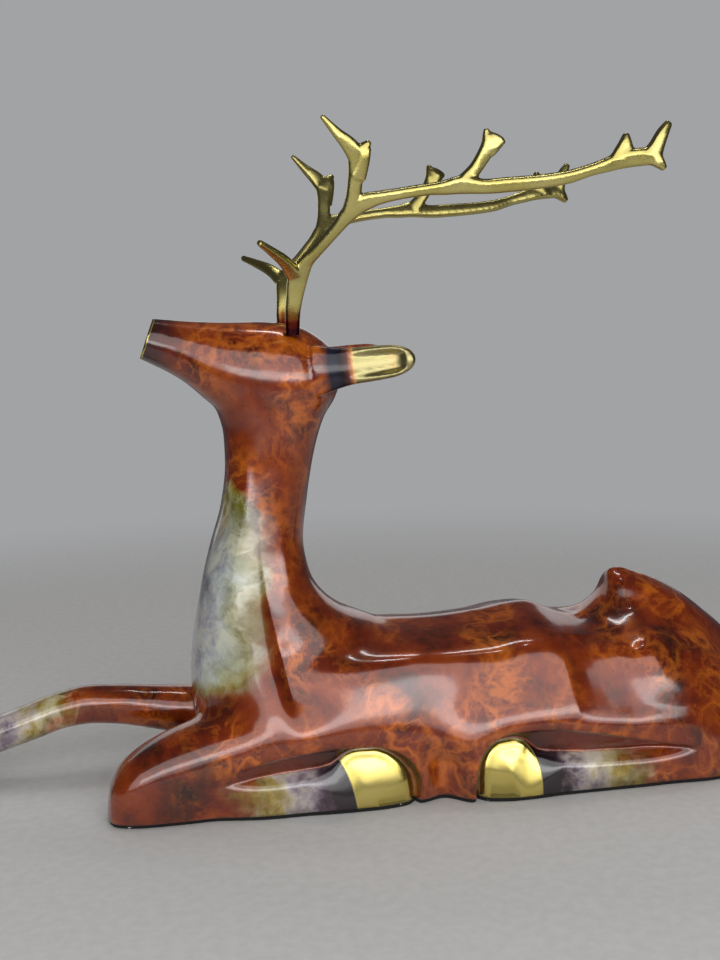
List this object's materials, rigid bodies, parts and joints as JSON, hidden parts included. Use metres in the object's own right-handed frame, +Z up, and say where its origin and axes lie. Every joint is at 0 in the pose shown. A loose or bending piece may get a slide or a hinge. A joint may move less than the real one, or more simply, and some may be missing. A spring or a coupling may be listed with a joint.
{
  "type": "reclining stag sculpture",
  "caption": "Reclining stag in patinated cast copper, head raised, long swept antlers, one foreleg stretched out, on a thin black base pad.",
  "frame": {"origin": "middle of the footprint, on the surface the sculpture stands on", "axes": "X along the body with the head towards -X, the animal's left side towards -Y, +Z up"},
  "size_m": [0.553, 0.1614, 0.3793],
  "materials": {
    "patina": "glossy lacquer over a marbled rust-orange and dark brown patina",
    "brass": "satin polished brass",
    "felt": "matt black"
  },
  "bodies": {
    "root": {"body": "patina", "antler_left": "brass", "antler_right": "brass", "base_pad": "felt"}
  },
  "joints": []
}
